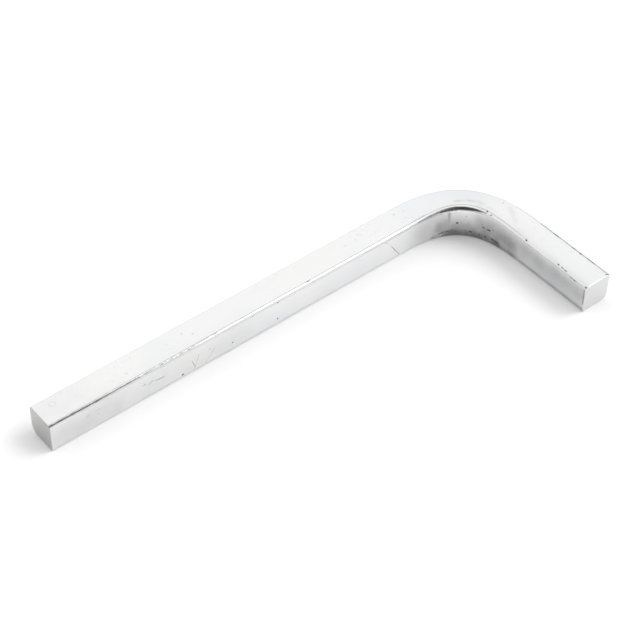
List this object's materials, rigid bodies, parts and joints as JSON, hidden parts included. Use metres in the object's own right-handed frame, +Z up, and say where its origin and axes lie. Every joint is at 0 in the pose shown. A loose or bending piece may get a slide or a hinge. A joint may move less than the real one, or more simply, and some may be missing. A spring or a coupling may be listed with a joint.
{
  "type": "l-shaped square key",
  "caption": "L-shaped key bent from plated square steel bar, whose square ends turn bolts, plugs and spindles that have a square socket.",
  "frame": {"origin": "bottom centre of the key's box, in the plane that the key lies on", "axes": "+X along the long arm from its tip towards the bend, the short arm points towards -Y from the +X end, +Z up, square to the flat L"},
  "size_m": [0.0976, 0.0374, 0.0072],
  "materials": {
    "plated_steel": "bright plating over drawn bar, fairly glossy, with fine drawing lines, small scratches, pits and worn dark chips along the edges and inside the bend"
  },
  "bodies": {
    "root": {"square_key": "plated_steel"}
  },
  "joints": []
}
